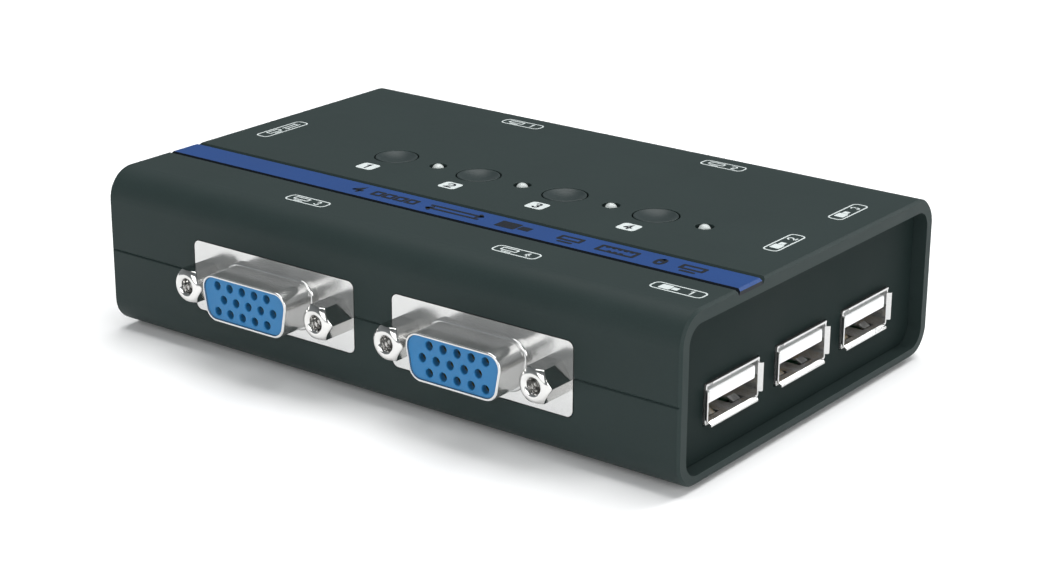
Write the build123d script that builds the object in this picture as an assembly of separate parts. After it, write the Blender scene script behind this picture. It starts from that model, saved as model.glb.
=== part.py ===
from build123d import *
import math
import os

# A four-computer keyboard, video and mouse switch in a two-part plastic case.
# The frame is the object's own: X along the case to the USB end, Y from the front
# to the back, Z up, and the origin under the middle of the whole outline at the feet.
# Everything is in millimetres.

# Case
CASE_LENGTH = 103.2
CASE_WIDTH = 66.3
CASE_HEIGHT = 24.4
TOP_CORNER_RADIUS = 4.5
LOW_CORNER_RADIUS = 4.2
ROOF_WALL = 2.0
SIDE_WALL = 1.75
FLOOR_WALL = 1.4
INNER_CORNER_RADIUS = 2.7
RIM_CHAMFER = 0.35
SEAM_HEIGHT = 12.05
SEAM_BEVEL = 0.2
END_RECESS = 2.2
FOOT_PROUD = 0.8

# End panels
PANEL_FACE_THICKNESS = 1.0
PANEL_TONGUE_THICKNESS = 1.0
PANEL_TONGUE_REACH = 0.6
PANEL_CLEARANCE = 0.1

# Video sockets
VIDEO_FLANGE_LENGTH = 30.8
VIDEO_FLANGE_HEIGHT = 10.65
VIDEO_FLANGE_THICKNESS = 0.8
VIDEO_FLANGE_RADIUS = 1.0
VIDEO_WINDOW_GAP = 0.15
VIDEO_DROP_BELOW_SEAM = 0.22
VIDEO_SHELL_LENGTH = 16.9
VIDEO_SHELL_HEIGHT = 6.9
VIDEO_SHELL_REACH = 6.0
VIDEO_SHELL_WALL = 0.32
VIDEO_SHELL_SLOPE = 10.0
VIDEO_SHELL_RADIUS = 2.1
VIDEO_COLLAR_WIDTH = 0.4
VIDEO_COLLAR_REACH = 0.8
VIDEO_COLLAR_ROUND = 0.32
VIDEO_LIP_ROUND = 0.19
VIDEO_FACE_SINK = 0.25
VIDEO_BODY_DEPTH = 9.0
VIDEO_BODY_END_INSET = 0.5
VIDEO_SCREW_SPACING = 24.99
CONTACT_PITCH = 2.38
CONTACT_ROW_PITCH = 1.95
CONTACTS_PER_ROW = 5
CONTACT_HOLE_DIAMETER = 1.25
CONTACT_HOLE_RIM = 0.1
CONTACT_HOLE_DEPTH = 5.0
CONTACT_CLEARANCE = 0.05
CONTACT_SINK = 1.0
CONTACT_WALL = 0.15
CONTACT_FLOOR = 0.8
JACKSCREW_FLATS = 4.75
JACKSCREW_REACH = 5.0
JACKSCREW_THREAD_RADIUS = 1.13
JACKSCREW_SHANK_RADIUS = 1.4
JACKSCREW_SHANK_INSET = 1.0
JACKSCREW_BEVEL = 0.4
JACKSCREW_MOUTH_BEVEL = 0.25
FRONT_PORT_CENTRES = (33.2, 71.05)
BACK_PORT_CENTRES = (33.2, 71.05)

# USB sockets
USB_PROUD = 0.25
USB_OPENING_WIDTH = 12.5
USB_OPENING_HEIGHT = 5.12
USB_SHELL_WALL = 0.3
USB_DEPTH = 13.6
USB_PITCH = 17.6
USB_LIP_REACH = 0.5
USB_LIP_FLARE = 0.33
USB_CORNER_NOTCH = 0.8
USB_SPRING_OFFSET = 3.1
USB_SPRING_WIDTH = 1.7
USB_SPRING_LENGTH = 5.2
USB_SPRING_SLOT = 0.7
USB_SPRING_START = 1.0
USB_SPRING_RISE = 0.45
USB_SPRING_CREST = 1.2
USB_SPRING_TIP = 0.2
USB_TONGUE_WIDTH = 11.1
USB_TONGUE_THICKNESS = 1.84
USB_TONGUE_GAP = 0.72
USB_TONGUE_REACH = 0.1
USB_TONGUE_BEVEL = 0.25
USB_BLOCK_DEPTH = 3.0
USB_STRIP_THICKNESS = 0.25
USB_STRIP_WIDTH = 1.0
USB_STRIP_SETBACK = 1.0
USB_CONTACT_PITCHES = (-3.5, -1.0, 1.0, 3.5)
USB_WINDOW_GAP = 0.15

# Buttons, switches and lamps
BUTTON_COUNT = 4
FIRST_BUTTON = 29.2
BUTTON_PITCH = 15.97
BUTTON_LINE = 32.45
BUTTON_DIAMETER = 6.5
BUTTON_GAP = 0.2
BUTTON_DISH_DEPTH = 0.7
BUTTON_RIM = 0.3
BUTTON_EDGE_ROUND = 0.14
BUTTON_HOLE_ROUND = 0.12
BUTTON_THICKNESS = 2.2
BUTTON_COLLAR_DIAMETER = 8.6
BUTTON_COLLAR_THICKNESS = 0.9
BUTTON_COLLAR_DROP = 0.1
BUTTON_COLUMN_DIAMETER = 4.4
BUTTON_TRAVEL = 0.5
SWITCH_SIDE = 6.0
SWITCH_HEIGHT = 3.5
SWITCH_CORNER = 0.5
STEM_DIAMETER = 3.4
STEM_TOP = 7.4
STEM_DEPTH = 0.6
STEM_GAP = 0.15
LAMP_OFFSET = 8.15
LAMP_LINE = 32.5
LAMP_HOLE_DIAMETER = 2.7
LENS_DIAMETER = 1.9
LENS_PROUD = 0.3
LENS_FOOT_HEIGHT = 1.5
LENS_COLLAR_DIAMETER = 3.6
LENS_COLLAR_THICKNESS = 0.8
LAMP_BASE = (3.2, 1.6, 0.6)
LAMP_DOME = (2.0, 1.5, 0.6)

# Stripe
STRIPE_FRONT = 13.5
STRIPE_BACK = 18.6
CHANNEL_FRONT = 12.65
CHANNEL_BACK = 19.6
CHANNEL_DEPTH = 0.9
STRIPE_FOOT_SPREAD = 0.35

# Board and what stands on it
BOARD_THICKNESS = 1.6
BOARD_TOP = 6.2
BOARD_END_GAP = 0.3
BOARD_SIDE_GAP = 0.5
SEAT_GAP = 0.05
SAME_PLACE = 0.01
BOARD_CORNER_RADIUS = 1.5
CHIP_STANDOFF = 0.15
CHIP_LEAD_THICKNESS = 0.35
CHIP_TOP_BEVEL = 0.2
CHIP_LEAD_REACH = 1.0
CONTROLLER_PLACE = (52.0, 20.0)
CONTROLLER_SIDE = 10.0
CONTROLLER_HEIGHT = 1.5
CONTROLLER_LEAD_PITCH = 0.8
VIDEO_CHIP_PLACES = ((25.0, 43.5), (50.0, 43.5), (75.0, 43.5))
VIDEO_CHIP_LENGTH = 10.0
VIDEO_CHIP_WIDTH = 4.0
VIDEO_CHIP_HEIGHT = 1.6
VIDEO_CHIP_LEAD_PITCH = 1.27
CRYSTAL_PLACE = (68.0, 20.0)
CRYSTAL_LENGTH = 11.0
CRYSTAL_WIDTH = 4.6
CRYSTAL_HEIGHT = 3.4
CRYSTAL_ROUND = 0.6
CAPACITOR_PLACES = ((20.5, 20.0), (28.0, 20.0), (20.5, 50.0), (80.0, 20.0))
CAPACITOR_BASE_SIDE = 5.2
CAPACITOR_BASE_HEIGHT = 0.8
CAPACITOR_DIAMETER = 5.0
CAPACITOR_HEIGHT = 5.4
CAPACITOR_ROUND = 0.5
RESISTOR_ROWS = (38.5, 49.0)
RESISTORS_PER_ROW = 9
FIRST_RESISTOR = 30.0
RESISTOR_PITCH = 5.0
RESISTOR_SIZE = (1.6, 0.9, 0.5)

# Fasteners and feet
POST_PLACES = ((9.5, 6.0), (91.0, 6.0), (9.5, 60.3), (91.0, 60.3))
LOW_POST_DIAMETER = 7.6
HIGH_POST_DIAMETER = 6.0
SCREW_DIAMETER = 2.4
SCREW_LENGTH = 11.5
SCREW_HEAD_DIAMETER = 5.0
SCREW_HEAD_HEIGHT = 1.8
SCREW_HEAD_SINK = 0.5
SCREW_HEAD_ROUND = 0.6
SCREW_TIP_BEVEL = 0.6
SCREW_SLOT_LENGTH = 2.8
SCREW_SLOT_WIDTH = 0.7
SCREW_SLOT_DEPTH = 1.0
POST_BITE = 0.1
PILOT_DIAMETER = 2.5
SCREW_CLEARANCE_DIAMETER = 3.0
HEAD_BORE_DIAMETER = 5.5
FOOT_DIAMETER = 8.0
FOOT_SOCKET_DEPTH = 0.5
FOOT_SOCKET_GAP = 0.1
FOOT_ROUND = 0.4
FOOT_INSET_X = 19.0
FOOT_INSET_Y = 12.0

# Places worked out from the sizes above
PORT_REACH_PAST_RIM = VIDEO_SHELL_REACH - END_RECESS
CASE_LEFT = -(CASE_LENGTH + PORT_REACH_PAST_RIM) / 2 + PORT_REACH_PAST_RIM
CASE_RIGHT = CASE_LEFT + CASE_LENGTH
CASE_FRONT = -CASE_WIDTH / 2
CASE_BACK = CASE_WIDTH / 2
CASE_LOW = FOOT_PROUD
CASE_HIGH = CASE_LOW + CASE_HEIGHT
SEAM_Z = CASE_LOW + SEAM_HEIGHT
ROOF_UNDERSIDE = CASE_HIGH - ROOF_WALL
FLOOR_TOP = CASE_LOW + FLOOR_WALL
LEFT_PANEL_FACE = CASE_LEFT + END_RECESS
RIGHT_PANEL_FACE = CASE_RIGHT - END_RECESS
PANEL_THICKNESS = PANEL_FACE_THICKNESS + PANEL_TONGUE_THICKNESS
BOARD_Z = CASE_LOW + BOARD_TOP
BOARD_LEFT = LEFT_PANEL_FACE + PANEL_THICKNESS + BOARD_END_GAP
BOARD_RIGHT = RIGHT_PANEL_FACE - PANEL_THICKNESS - BOARD_END_GAP
BOARD_FRONT = CASE_FRONT + SIDE_WALL + BOARD_SIDE_GAP
BOARD_BACK = CASE_BACK - SIDE_WALL - BOARD_SIDE_GAP
VIDEO_Z = SEAM_Z - VIDEO_DROP_BELOW_SEAM
USB_MOUTH_X = RIGHT_PANEL_FACE + USB_PROUD
USB_Z = BOARD_Z + SEAT_GAP + USB_OPENING_HEIGHT / 2 + USB_SHELL_WALL
SWITCH_TOP = BOARD_Z + SWITCH_HEIGHT


def at_x(distance_from_left):
    """The X of a place measured from the case's left end."""
    return CASE_LEFT + distance_from_left


def at_y(distance_from_front):
    """The Y of a place measured from the case's front face."""
    return CASE_FRONT + distance_from_front


BUTTON_XS = [at_x(FIRST_BUTTON + BUTTON_PITCH * number) for number in range(BUTTON_COUNT)]
BUTTON_Y = at_y(BUTTON_LINE)
LAMP_XS = [x + LAMP_OFFSET for x in BUTTON_XS]
LAMP_Y = at_y(LAMP_LINE)
USB_YS = [USB_PITCH * step for step in (-1, 0, 1)]


# ---------------------------------------------------------------- helpers

def slab(x_low, x_high, y_low, y_high, z_low, z_high):
    """A box between two corners."""
    centre = Pos((x_low + x_high) / 2, (y_low + y_high) / 2, (z_low + z_high) / 2)
    return centre * Box(x_high - x_low, y_high - y_low, z_high - z_low)


def block(x, y, z_low, size):
    """A box that stands on a height, centred on a place, with its length, width and height."""
    return Pos(x, y, z_low + size[2] / 2) * Box(*size)


def disc(x, y, z_low, z_high, diameter):
    """An upright cylinder."""
    return Pos(x, y, (z_low + z_high) / 2) * Cylinder(diameter / 2, z_high - z_low)


def rounded_bar(x_low, x_high, inset_side, inset_low, inset_high, low_radius, high_radius):
    """A bar along X with the case's rounded section, drawn in from the case's faces."""
    height = CASE_HEIGHT - inset_low - inset_high
    outline = Rectangle(CASE_WIDTH - 2 * inset_side, height)
    outline = fillet(outline.vertices().group_by(Axis.Y)[-1], high_radius)
    outline = fillet(outline.vertices().group_by(Axis.Y)[0], low_radius)
    middle = CASE_LOW + inset_low + height / 2
    return extrude(Plane(origin=(x_low, 0, middle), x_dir=(0, 1, 0), z_dir=(1, 0, 0)) * outline,
                   x_high - x_low)


def cavity_bar(x_low, x_high, spread):
    """A bar that fills the case's inside, grown outwards by spread."""
    return rounded_bar(x_low, x_high, SIDE_WALL - spread, FLOOR_WALL - spread, ROOF_WALL - spread,
                       INNER_CORNER_RADIUS + spread, INNER_CORNER_RADIUS + spread)


def write_node(name, shape):
    """Write one sub-part, and say what it measures."""
    export_step(shape, os.path.join("parts", name + ".step"))
    print(f"{name}: {len(shape.solids())} solids, {shape.volume:.1f} mm3")


def group(solids):
    """Several separate solids as one shape."""
    return Compound(children=list(solids))


# ---------------------------------------------------------------- ports' places

def port_plane(side, centre):
    """The frame of a video port: local X along the flange, local Y up, local Z outwards."""
    if side == "front":
        return Plane(origin=(at_x(centre), CASE_FRONT, VIDEO_Z), x_dir=(1, 0, 0), z_dir=(0, -1, 0))
    if side == "back":
        return Plane(origin=(at_x(centre), CASE_BACK, VIDEO_Z), x_dir=(-1, 0, 0), z_dir=(0, 1, 0))
    return Plane(origin=(LEFT_PANEL_FACE, 0, VIDEO_Z), x_dir=(0, -1, 0), z_dir=(-1, 0, 0))


SIDE_PORTS = ("computer_1", "computer_2", "computer_3", "computer_4")
MIDDLE_ROW_SIDES = {"computer_2": -1, "computer_4": -1}
VIDEO_PORTS = {
    "monitor": port_plane("left", 0),
    "computer_1": port_plane("back", BACK_PORT_CENTRES[0]),
    "computer_2": port_plane("back", BACK_PORT_CENTRES[1]),
    "computer_3": port_plane("front", FRONT_PORT_CENTRES[0]),
    "computer_4": port_plane("front", FRONT_PORT_CENTRES[1]),
}


def raised(sketch, low, high):
    """A sketch in a port's own frame, carried outwards from low to high."""
    return Pos(0, 0, low) * extrude(sketch, high - low)


# ---------------------------------------------------------------- video sockets

def flange_outline(growth):
    """The rounded oblong of a video port's flange, grown on every side."""
    return RectangleRounded(VIDEO_FLANGE_LENGTH + 2 * growth, VIDEO_FLANGE_HEIGHT + 2 * growth,
                            VIDEO_FLANGE_RADIUS + growth)


def shell_outline(growth):
    """The D of a video port's shell, wide side up, grown on every side."""
    half_height = VIDEO_SHELL_HEIGHT / 2 + growth
    slope = math.tan(math.radians(VIDEO_SHELL_SLOPE))
    middle_half = (VIDEO_SHELL_LENGTH - VIDEO_SHELL_HEIGHT * slope) / 2
    side_growth = growth / math.cos(math.radians(VIDEO_SHELL_SLOPE))
    wide = middle_half + half_height * slope + side_growth
    narrow = middle_half - half_height * slope + side_growth
    corners = [(-wide, half_height), (-narrow, -half_height), (narrow, -half_height), (wide, half_height)]
    outline = make_face(Polyline(*corners, close=True))
    return fillet(outline.vertices(), VIDEO_SHELL_RADIUS + growth)


def contact_places(middle_row_side):
    """The fifteen contact positions of a video port, the middle row half a pitch to one side."""
    places = []
    for row in (-1, 0, 1):
        side = middle_row_side if row == 0 else -middle_row_side
        shift = side * CONTACT_PITCH / 4
        for column in range(CONTACTS_PER_ROW):
            x = (column - (CONTACTS_PER_ROW - 1) / 2) * CONTACT_PITCH + shift
            places.append((x, row * CONTACT_ROW_PITCH))
    return places


def screw_places():
    """The two jackscrew positions on a video port's flange."""
    return [(-VIDEO_SCREW_SPACING / 2, 0), (VIDEO_SCREW_SPACING / 2, 0)]


def make_video_shell():
    """The metal flange with its drawn D shell."""
    flange = raised(flange_outline(0), -VIDEO_FLANGE_THICKNESS, 0)
    collar = raised(shell_outline(VIDEO_COLLAR_WIDTH), 0, VIDEO_COLLAR_REACH)
    collar = fillet(collar.faces().sort_by(Axis.Z)[-1].edges(), VIDEO_COLLAR_ROUND)
    shell = raised(shell_outline(0), 0, VIDEO_SHELL_REACH)
    shell = fillet(shell.faces().sort_by(Axis.Z)[-1].edges(), VIDEO_LIP_ROUND)
    metal = flange + collar + shell
    metal -= raised(shell_outline(-VIDEO_SHELL_WALL), -VIDEO_FLANGE_THICKNESS, VIDEO_SHELL_REACH)
    for x, y in screw_places():
        metal -= Pos(x, y, 0) * Cylinder(JACKSCREW_SHANK_RADIUS + SEAT_GAP, 4 * VIDEO_FLANGE_THICKNESS)
    return metal


def make_video_insulator(middle_row_side):
    """The plastic block behind the flange, with its D face full of contact holes."""
    block_low = -VIDEO_FLANGE_HEIGHT / 2
    block_high = VIDEO_FLANGE_HEIGHT / 2 - VIDEO_FLANGE_RADIUS
    back_of_flange = -VIDEO_FLANGE_THICKNESS
    block = Pos(0, (block_low + block_high) / 2, back_of_flange - VIDEO_BODY_DEPTH / 2) * Box(
        VIDEO_FLANGE_LENGTH - 2 * VIDEO_BODY_END_INSET, block_high - block_low, VIDEO_BODY_DEPTH)
    nose = raised(shell_outline(-VIDEO_SHELL_WALL - CONTACT_CLEARANCE), back_of_flange,
                  VIDEO_SHELL_REACH - VIDEO_FACE_SINK)
    body = block + nose
    face = VIDEO_SHELL_REACH - VIDEO_FACE_SINK
    hole = Cylinder(CONTACT_HOLE_DIAMETER / 2, CONTACT_HOLE_DEPTH,
                    align=(Align.CENTER, Align.CENTER, Align.MAX))
    hole += Cone(CONTACT_HOLE_DIAMETER / 2, CONTACT_HOLE_DIAMETER / 2 + CONTACT_HOLE_RIM,
                 CONTACT_HOLE_RIM, align=(Align.CENTER, Align.CENTER, Align.MAX))
    for x, y in contact_places(middle_row_side):
        body -= Pos(x, y, face) * hole
    for x, y in screw_places():
        bore = Cylinder(JACKSCREW_SHANK_RADIUS + SEAT_GAP, 4 * JACKSCREW_REACH)
        body -= Pos(x, y, 0) * bore
    return body


def make_video_contacts(middle_row_side):
    """Fifteen sprung contact sleeves, one in each hole, open towards the plug."""
    sleeves = []
    outer = CONTACT_HOLE_DIAMETER / 2 - CONTACT_CLEARANCE
    length = CONTACT_HOLE_DEPTH - CONTACT_SINK
    bottom = VIDEO_SHELL_REACH - VIDEO_FACE_SINK - CONTACT_HOLE_DEPTH
    bore = Pos(0, 0, CONTACT_FLOOR) * Cylinder(outer - CONTACT_WALL, length)
    for x, y in contact_places(middle_row_side):
        sleeves.append(Pos(x, y, bottom + length / 2) * (Cylinder(outer, length) - bore))
    return group(sleeves)


def make_jackscrew():
    """A hexagonal threaded post with a shank that goes back through the flange."""
    post = extrude(RegularPolygon(JACKSCREW_FLATS / 2, 6, major_radius=False), JACKSCREW_REACH)
    corner_radius = JACKSCREW_FLATS / 2 / math.cos(math.pi / 6)
    nose_cone = Cone(corner_radius + JACKSCREW_REACH, JACKSCREW_FLATS / 2 - JACKSCREW_BEVEL,
                     JACKSCREW_REACH + corner_radius - JACKSCREW_FLATS / 2 + JACKSCREW_BEVEL,
                     align=(Align.CENTER, Align.CENTER, Align.MAX))
    post = post & (Pos(0, 0, JACKSCREW_REACH) * nose_cone)
    shank_length = VIDEO_FLANGE_THICKNESS + VIDEO_BODY_DEPTH - JACKSCREW_SHANK_INSET
    shank = Cylinder(JACKSCREW_SHANK_RADIUS, shank_length,
                     align=(Align.CENTER, Align.CENTER, Align.MAX))
    thread = Pos(0, 0, JACKSCREW_REACH) * Cylinder(JACKSCREW_THREAD_RADIUS, 2 * JACKSCREW_REACH)
    mouth = Cone(JACKSCREW_THREAD_RADIUS, JACKSCREW_THREAD_RADIUS + JACKSCREW_MOUTH_BEVEL,
                 JACKSCREW_MOUTH_BEVEL, align=(Align.CENTER, Align.CENTER, Align.MAX))
    return post + shank - thread - Pos(0, 0, JACKSCREW_REACH) * mouth


def make_jackscrews():
    """The pair of jackscrews of one video port."""
    return group([Pos(x, y, 0) * make_jackscrew() for x, y in screw_places()])


# ---------------------------------------------------------------- USB sockets

def usb_plane(y):
    """The frame of a USB socket: local X along the mouth, local Y up, local Z outwards."""
    return Plane(origin=(USB_MOUTH_X, y, USB_Z), x_dir=(0, 1, 0), z_dir=(1, 0, 0))


def make_usb_lip(turn, length, across):
    """One flared lip: a strip that leans outwards from one edge of the sleeve's mouth."""
    inner = across / 2 - USB_SHELL_WALL
    outer = across / 2
    profile = Polyline((inner, 0), (inner + USB_LIP_FLARE, USB_LIP_REACH),
                       (outer + USB_LIP_FLARE, USB_LIP_REACH), (outer, 0), close=True)
    half_length = length / 2 - USB_CORNER_NOTCH
    return Rot(0, 0, turn) * extrude(Plane.YZ * make_face(profile), half_length, both=True)


def make_usb_spring(x):
    """A grounding finger: a strip that rises from its root to a crest behind the mouth, then dips."""
    floor = -USB_OPENING_HEIGHT / 2
    root = -USB_SPRING_START - USB_SPRING_LENGTH
    crest = -USB_SPRING_START - USB_SPRING_CREST
    tip = -USB_SPRING_START - USB_SPRING_TIP
    rise = floor + USB_SPRING_RISE
    profile = Polyline((floor - USB_SHELL_WALL, root), (floor, root), (rise, crest), (floor, tip),
                       (floor - USB_SHELL_WALL, tip), (rise - USB_SHELL_WALL, crest), close=True)
    return Pos(x, 0, 0) * extrude(Plane.YZ * make_face(profile), USB_SPRING_WIDTH / 2, both=True)


def make_usb_shell():
    """The folded steel sleeve of a USB socket, closed at the back, with four flared lips."""
    outer_width = USB_OPENING_WIDTH + 2 * USB_SHELL_WALL
    outer_height = USB_OPENING_HEIGHT + 2 * USB_SHELL_WALL
    sleeve = Pos(0, 0, -USB_DEPTH / 2) * Box(outer_width, outer_height, USB_DEPTH)
    sleeve = fillet(sleeve.edges().filter_by(Axis.Z), USB_SHELL_WALL)
    cavity = Pos(0, 0, -USB_DEPTH / 2 + USB_SHELL_WALL)
    sleeve -= cavity * Box(USB_OPENING_WIDTH, USB_OPENING_HEIGHT, USB_DEPTH)
    slot_width = USB_SPRING_WIDTH + 2 * USB_SPRING_SLOT
    slot_middle = -USB_SPRING_START - USB_SPRING_LENGTH / 2
    for x in (-USB_SPRING_OFFSET, USB_SPRING_OFFSET):
        slot = Box(slot_width, 4 * USB_SHELL_WALL, USB_SPRING_LENGTH)
        sleeve -= Pos(x, -outer_height / 2, slot_middle) * slot
        sleeve += make_usb_spring(x)
    for turn in (0, 180):
        sleeve += make_usb_lip(turn, outer_width, outer_height)
    for turn in (90, 270):
        sleeve += make_usb_lip(turn, outer_height, outer_width)
    return sleeve


def make_usb_tongue():
    """The white block at the back of a USB socket with its tongue over the upper part."""
    tongue_high = USB_OPENING_HEIGHT / 2 - USB_TONGUE_GAP
    tongue_low = tongue_high - USB_TONGUE_THICKNESS
    back = -USB_DEPTH + USB_SHELL_WALL + SEAT_GAP
    block = Box(USB_OPENING_WIDTH - 2 * SEAT_GAP, USB_OPENING_HEIGHT - 2 * SEAT_GAP, USB_BLOCK_DEPTH)
    length = USB_TONGUE_REACH - back
    tongue = Box(USB_TONGUE_WIDTH, USB_TONGUE_THICKNESS, length)
    tongue = Pos(0, (tongue_high + tongue_low) / 2, back + length / 2) * tongue
    tongue = chamfer(tongue.faces().sort_by(Axis.Z)[-1].edges(), USB_TONGUE_BEVEL)
    return Pos(0, 0, back + USB_BLOCK_DEPTH / 2) * block + tongue


def make_usb_contacts():
    """Four gilt strips along the underside of the tongue."""
    tongue_low = USB_OPENING_HEIGHT / 2 - USB_TONGUE_GAP - USB_TONGUE_THICKNESS
    front = USB_TONGUE_REACH - USB_STRIP_SETBACK
    back = -USB_DEPTH + USB_SHELL_WALL + SEAT_GAP + USB_BLOCK_DEPTH
    strip = Box(USB_STRIP_WIDTH, USB_STRIP_THICKNESS, front - back)
    low = tongue_low - USB_STRIP_THICKNESS / 2
    return group([Pos(x, low, (front + back) / 2) * strip for x in USB_CONTACT_PITCHES])


# ---------------------------------------------------------------- case

def make_case_tube():
    """The whole case as one open-ended tube, before it is parted."""
    outer = rounded_bar(CASE_LEFT, CASE_RIGHT, 0, 0, 0, LOW_CORNER_RADIUS, TOP_CORNER_RADIUS)
    ends = outer.faces().sort_by(Axis.X)
    outer = chamfer(ends[0].edges() + ends[-1].edges(), RIM_CHAMFER)
    tube = outer - cavity_bar(CASE_LEFT, CASE_RIGHT, 0)
    groove_spread = PANEL_TONGUE_REACH + PANEL_CLEARANCE
    left_groove = LEFT_PANEL_FACE + PANEL_FACE_THICKNESS - PANEL_CLEARANCE / 2
    right_groove = RIGHT_PANEL_FACE - PANEL_THICKNESS - PANEL_CLEARANCE / 2
    groove_length = PANEL_TONGUE_THICKNESS + PANEL_CLEARANCE
    for x in (left_groove, right_groove):
        tube -= cavity_bar(x, x + groove_length, groove_spread)
    for side in SIDE_PORTS:
        window = raised(flange_outline(VIDEO_WINDOW_GAP), -2 * SIDE_WALL, SIDE_WALL)
        tube -= VIDEO_PORTS[side] * window
    return tube


def stripe_channel():
    """The shallow trough along the top, with sloping sides."""
    low = CASE_HIGH - CHANNEL_DEPTH
    corners = [(at_y(CHANNEL_FRONT), CASE_HIGH), (at_y(STRIPE_FRONT) - STRIPE_FOOT_SPREAD, low),
               (at_y(STRIPE_BACK) + STRIPE_FOOT_SPREAD, low), (at_y(CHANNEL_BACK), CASE_HIGH)]
    profile = make_face(Polyline(*corners, close=True))
    start = Plane(origin=(CASE_LEFT, 0, 0), x_dir=(0, 1, 0), z_dir=(1, 0, 0))
    return extrude(start * profile, CASE_LENGTH)


def make_top_shell(tube):
    """The upper half of the case, with its holes, the stripe's trough and four screw posts."""
    shell = tube & slab(CASE_LEFT, CASE_RIGHT, CASE_FRONT, CASE_BACK, SEAM_Z, CASE_HIGH)
    shell = bevel_seam(shell, SEAM_Z)
    shell -= stripe_channel()
    for x in BUTTON_XS:
        shell -= disc(x, BUTTON_Y, ROOF_UNDERSIDE, CASE_HIGH, BUTTON_DIAMETER + 2 * BUTTON_GAP)
    for x in LAMP_XS:
        shell -= disc(x, LAMP_Y, ROOF_UNDERSIDE, CASE_HIGH, LAMP_HOLE_DIAMETER)
    shell = fillet(rim_circles(shell), BUTTON_HOLE_ROUND)
    for x, y in POST_PLACES:
        low = BOARD_Z + SEAT_GAP
        post = disc(at_x(x), at_y(y), low, ROOF_UNDERSIDE + POST_BITE, HIGH_POST_DIAMETER)
        shell += post
        shell -= disc(at_x(x), at_y(y), low, low + SCREW_LENGTH, PILOT_DIAMETER)
    return shell


def rim_circles(shell):
    """The circular edges that the button and lamp holes make in the case's top face."""
    circles = shell.edges().filter_by(GeomType.CIRCLE)
    return [edge for edge in circles if abs(edge.center().Z - CASE_HIGH) < SAME_PLACE and edge.is_closed]


def bevel_seam(shell, height):
    """Bevel the outer edge of a half's meeting face, which leaves the fine groove between halves."""
    def on_outside(edge):
        centre = edge.center()
        return abs(centre.Z - height) < SAME_PLACE and abs(abs(centre.Y) - CASE_WIDTH / 2) < 0.01
    edges = [edge for edge in shell.edges().filter_by(Axis.X) if on_outside(edge)]
    return chamfer(edges, SEAM_BEVEL)


def foot_places():
    """The four feet, one near each corner of the floor."""
    xs = (at_x(FOOT_INSET_X), at_x(CASE_LENGTH - FOOT_INSET_X))
    ys = (at_y(FOOT_INSET_Y), at_y(CASE_WIDTH - FOOT_INSET_Y))
    return [(x, y) for x in xs for y in ys]


def make_bottom_shell(tube):
    """The lower half of the case, with screw posts that carry the board and sockets for the feet."""
    shell = tube & slab(CASE_LEFT, CASE_RIGHT, CASE_FRONT, CASE_BACK, CASE_LOW, SEAM_Z)
    shell = bevel_seam(shell, SEAM_Z)
    post_top = BOARD_Z - BOARD_THICKNESS
    head_seat = CASE_LOW + SCREW_HEAD_SINK + SCREW_HEAD_HEIGHT
    for x, y in POST_PLACES:
        column = disc(at_x(x), at_y(y), FLOOR_TOP - POST_BITE, post_top, LOW_POST_DIAMETER)
        column &= cavity_bar(CASE_LEFT, CASE_RIGHT, POST_BITE)
        shell += column
        shell -= disc(at_x(x), at_y(y), CASE_LOW, head_seat, HEAD_BORE_DIAMETER)
        shell -= disc(at_x(x), at_y(y), CASE_LOW, post_top, SCREW_CLEARANCE_DIAMETER)
    for x, y in foot_places():
        shell -= disc(x, y, CASE_LOW, CASE_LOW + FOOT_SOCKET_DEPTH,
                      FOOT_DIAMETER + 2 * FOOT_SOCKET_GAP)
    return shell


def make_panel(face_x, outwards):
    """One end panel: a visible face and, behind it, a tongue that sits in the case's groove."""
    face_low, face_high = sorted((face_x, face_x - outwards * PANEL_FACE_THICKNESS))
    tongue_x = face_x - outwards * PANEL_FACE_THICKNESS
    tongue_low, tongue_high = sorted((tongue_x, tongue_x - outwards * PANEL_TONGUE_THICKNESS))
    face = cavity_bar(face_low, face_high, -PANEL_CLEARANCE)
    tongue = cavity_bar(tongue_low, tongue_high, PANEL_TONGUE_REACH)
    return face + tongue


def make_left_panel():
    """The left end panel, with a window for the monitor's socket."""
    window = raised(flange_outline(VIDEO_WINDOW_GAP), -2 * PANEL_THICKNESS, PANEL_THICKNESS)
    return make_panel(LEFT_PANEL_FACE, -1) - VIDEO_PORTS["monitor"] * window


def make_right_panel():
    """The right end panel, with a window for each USB socket's mouth."""
    panel = make_panel(RIGHT_PANEL_FACE, 1)
    width = USB_OPENING_WIDTH + 2 * (USB_SHELL_WALL + USB_WINDOW_GAP)
    height = USB_OPENING_HEIGHT + 2 * (USB_SHELL_WALL + USB_WINDOW_GAP)
    for y in USB_YS:
        panel -= usb_plane(y) * Box(width, height, 3 * PANEL_THICKNESS)
    return panel


def make_stripe():
    """The blue strip that fills the middle of the trough, flush with the top."""
    low = CASE_HIGH - CHANNEL_DEPTH
    corners = [(at_y(STRIPE_FRONT), CASE_HIGH), (at_y(STRIPE_FRONT) - STRIPE_FOOT_SPREAD, low),
               (at_y(STRIPE_BACK) + STRIPE_FOOT_SPREAD, low), (at_y(STRIPE_BACK), CASE_HIGH)]
    profile = make_face(Polyline(*corners, close=True))
    start = Plane(origin=(CASE_LEFT, 0, 0), x_dir=(0, 1, 0), z_dir=(1, 0, 0))
    strip = extrude(start * profile, CASE_LENGTH)
    top_edges = strip.faces().sort_by(Axis.Z)[-1].edges().filter_by(Axis.Y)
    return chamfer(top_edges, RIM_CHAMFER)


# ---------------------------------------------------------------- buttons, switches and lamps

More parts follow.
